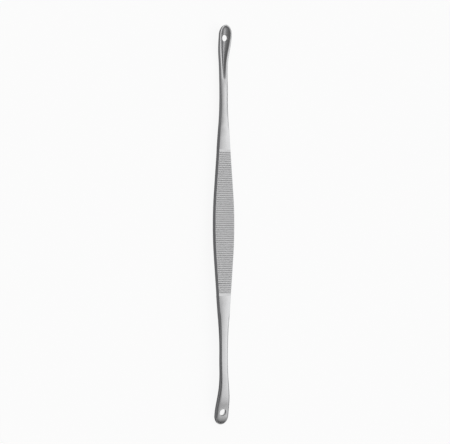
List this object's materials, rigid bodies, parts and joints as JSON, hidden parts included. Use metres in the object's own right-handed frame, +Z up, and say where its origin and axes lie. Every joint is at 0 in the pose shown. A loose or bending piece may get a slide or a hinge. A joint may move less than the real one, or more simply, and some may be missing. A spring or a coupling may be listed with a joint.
{
  "type": "comedone extractor",
  "caption": "Slim double-ended steel skin instrument: a flat lens-shaped serrated handle with a drilled spoon at each end, one facing up and one facing down.",
  "frame": {"origin": "centre of the bounding box on the surface that the instrument lies on", "axes": "+Y along the instrument towards the small spoon, which faces up; +X across the handle; +Z up"},
  "size_m": [0.0072, 0.14, 0.004],
  "materials": {
    "steel": "satin-polished stainless steel with a fine lengthwise grain, plain on the necks and spoons and cross-grooved on the grip"
  },
  "bodies": {
    "root": {"extractor": "steel"}
  },
  "joints": []
}
